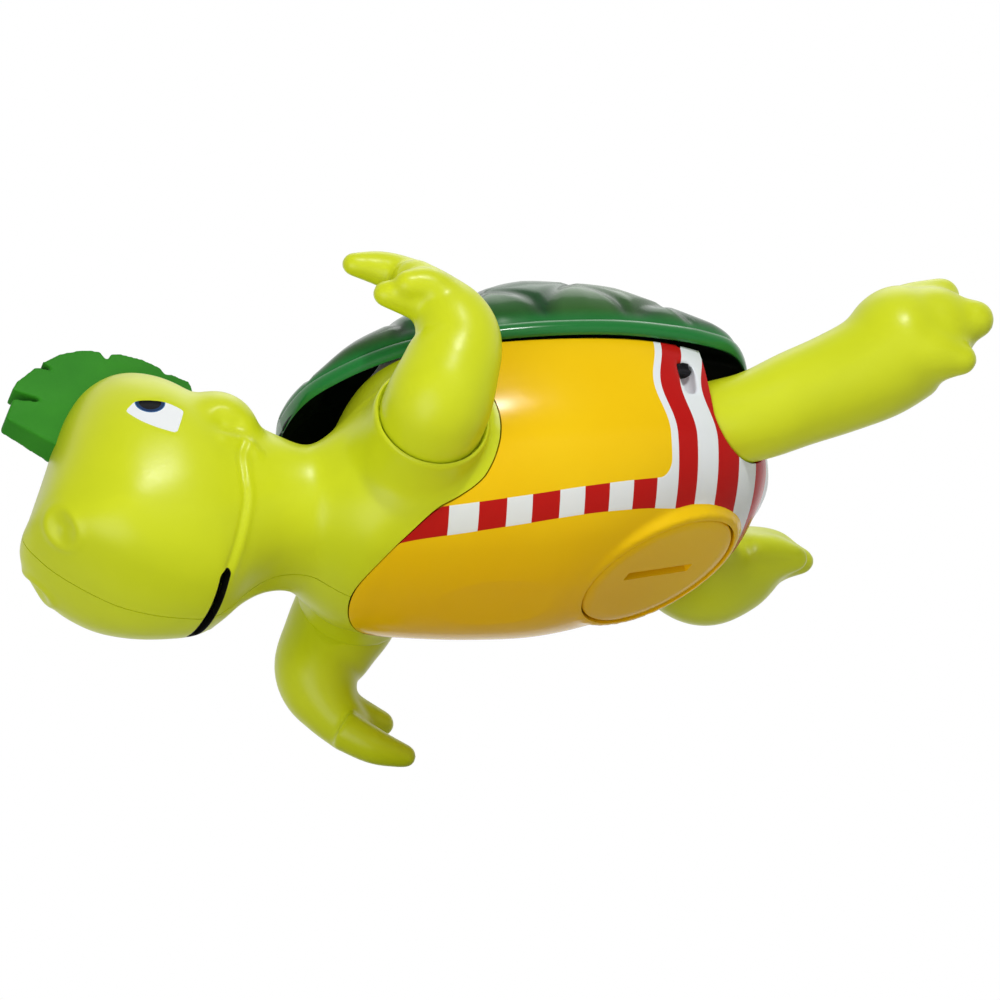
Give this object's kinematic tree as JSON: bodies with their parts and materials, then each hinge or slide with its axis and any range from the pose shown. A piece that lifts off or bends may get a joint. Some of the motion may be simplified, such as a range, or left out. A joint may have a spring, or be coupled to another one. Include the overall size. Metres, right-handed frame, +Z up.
{
  "type": "musical bath toy",
  "caption": "Swimming turtle bath toy with geared windmilling arms on a cross shaft, a coin-slot battery door in the belly and a speaker behind the mouth slot.",
  "frame": {"origin": "centre of the bounding box's base, below the belly, at the level of the lowered hand", "axes": "+Z up, -X towards the head, -Y towards the turtle's left side"},
  "size_m": [0.2852, 0.1516, 0.1135],
  "materials": {
    "lime_plastic": "satin moulded lime green",
    "yellow_plastic": "glossy yellow with painted red and white stripes",
    "green_plastic": "glossy dark green",
    "crest_plastic": "satin dark green",
    "white_plastic": "natural acetal",
    "black_plastic": "matt black",
    "rubber": "matt",
    "steel": "bright",
    "brass": "bright",
    "board": "solder mask on glass laminate",
    "cell_jacket": "plain jacket"
  },
  "bodies": {
    "hull": {"left_skin": "lime_plastic", "right_skin": "lime_plastic", "hair_crest": "crest_plastic", "plastron": "yellow_plastic", "carapace": "green_plastic", "left_leg": "lime_plastic", "right_leg": "lime_plastic", "left_screw": "steel", "right_screw": "steel", "battery_box": "white_plastic", "top_contact": "brass", "cell_1": "cell_jacket", "cell_2": "cell_jacket", "cell_3": "cell_jacket", "left_shaft_bush": "white_plastic", "right_shaft_bush": "white_plastic", "left_shaft_seal": "rubber", "right_shaft_seal": "rubber", "second_gear_pin": "steel", "first_gear_pin": "steel", "gearbox_left_plate": "white_plastic", "gearbox_right_plate": "white_plastic", "gearbox_post_1": "steel", "gearbox_post_2": "steel", "gearbox_post_3": "steel", "gearbox_post_4": "steel", "circuit_board": "board", "sound_chip": "black_plastic", "motor": "steel", "speaker": "black_plastic"},
    "arms": {"arm_shaft": "steel", "left_arm": "lime_plastic", "right_arm": "lime_plastic", "output_gear": "white_plastic"},
    "second_reduction": {"second_gear": "white_plastic"},
    "first_reduction": {"first_gear": "white_plastic"},
    "motor_rotor": {"motor_pinion": "brass"},
    "door": {"battery_door": "yellow_plastic", "door_gasket": "rubber", "door_contact": "brass"}
  },
  "joints": [
    {"name": "arm_spin", "type": "hinge", "parent": "hull", "child": "arms", "pos_m": [-0.03004, 0, 0.05249], "axis": [0, 1, 0], "continuous": true},
    {"name": "second_gear_spin", "type": "hinge", "parent": "hull", "child": "second_reduction", "pos_m": [-0.01004, 0, 0.05249], "axis": [0, 1, 0], "continuous": true},
    {"name": "first_gear_spin", "type": "hinge", "parent": "hull", "child": "first_reduction", "pos_m": [-0.00215, 0, 0.06867], "axis": [0, 1, 0], "continuous": true},
    {"name": "motor_spin", "type": "hinge", "parent": "hull", "child": "motor_rotor", "pos_m": [-0.01594, 0, 0.08024], "axis": [0, 1, 0], "continuous": true},
    {"name": "door_turn", "type": "hinge", "parent": "hull", "child": "door", "pos_m": [0.04596, 0, 0.02799], "axis": [0.2924, 0, -0.9563], "range_deg": [0, 60]}
  ],
  "couplings": [
    {"joint": "second_gear_spin", "follows": "arm_spin", "ratio": -4},
    {"joint": "first_gear_spin", "follows": "arm_spin", "ratio": 14},
    {"joint": "motor_spin", "follows": "arm_spin", "ratio": -49}
  ]
}
